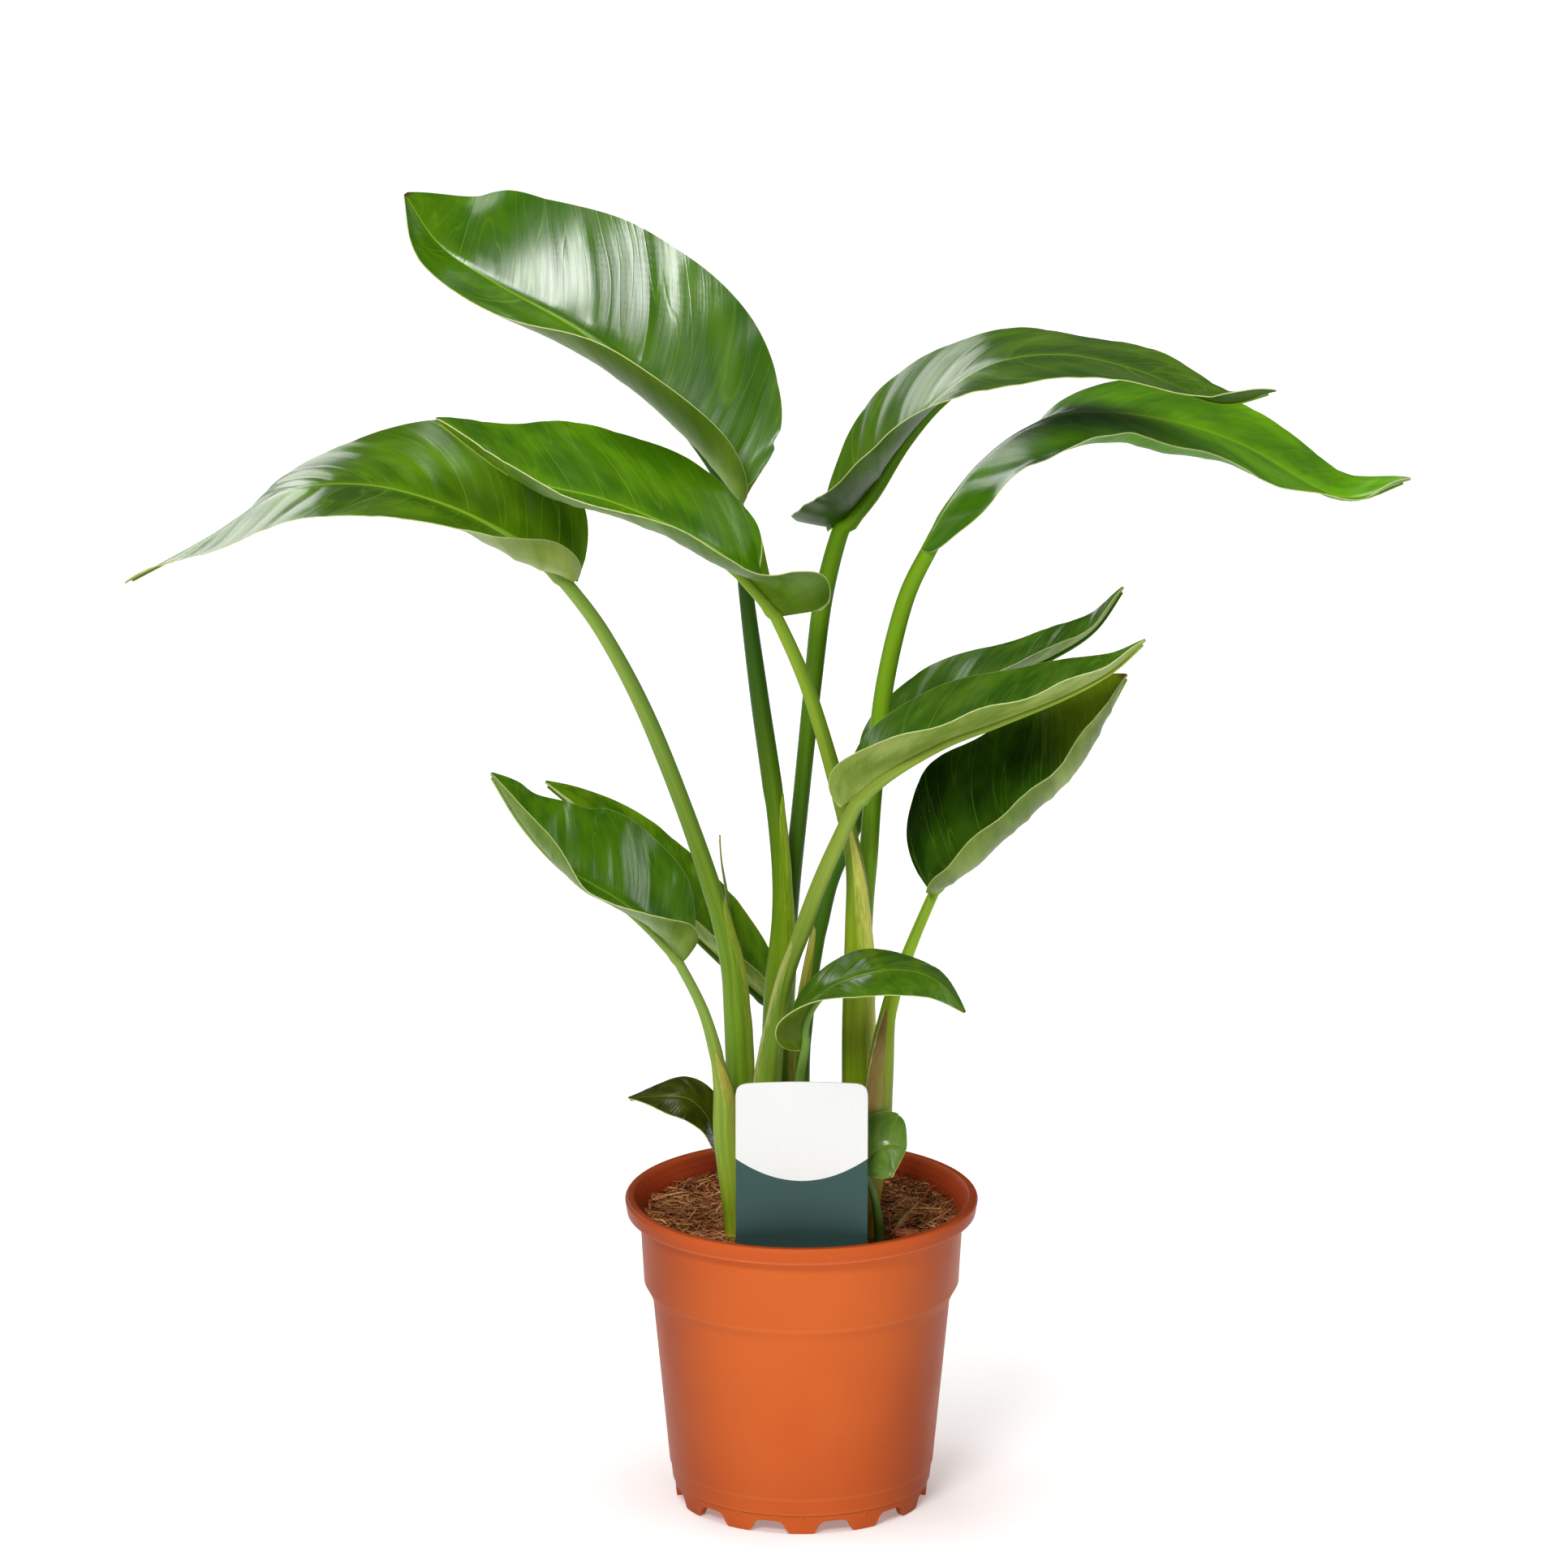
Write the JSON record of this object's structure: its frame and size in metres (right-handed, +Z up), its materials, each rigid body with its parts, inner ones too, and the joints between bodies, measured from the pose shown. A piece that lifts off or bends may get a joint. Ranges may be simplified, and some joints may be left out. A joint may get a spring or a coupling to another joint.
{
  "type": "potted bird of paradise plant",
  "caption": "Young potted plant with upright stems and broad arching paddle leaves, in a tapered pot with a lip and notched foot ring, with bark compost and a plain card tag.",
  "frame": {"origin": "middle of the whole plant's box in X and Y, on the surface that the pot's feet stand on; the pot's own axis is at X +14.0 mm, Y +10.5 mm", "axes": "+Z up along the pot's axis, -Y towards the side that carries the tag, +X to the right of someone who faces the tag"},
  "size_m": [0.6084, 0.196, 0.6288],
  "materials": {
    "pot_plastic": "satin",
    "compost": "rough",
    "leaf": "satin",
    "young_leaf": "satin",
    "tag_card": "satin",
    "bark": "rough"
  },
  "bodies": {
    "root": {"pot": "pot_plastic", "soil": "compost", "leaf_top": "leaf", "leaf_far_left": "leaf", "leaf_mid_left": "leaf", "leaf_top_right": "leaf", "leaf_far_right": "leaf", "leaf_inner_right": "leaf", "leaf_mid_right": "leaf", "leaf_low_right": "leaf", "leaf_front": "leaf", "leaf_low_left": "leaf", "leaf_back_left": "leaf", "leaf_seed_left": "leaf", "leaf_seed_right": "leaf", "leaf_spear": "young_leaf", "plant_tag": "tag_card", "bark_chip": "bark", "dry_sheath": "bark"}
  },
  "joints": []
}
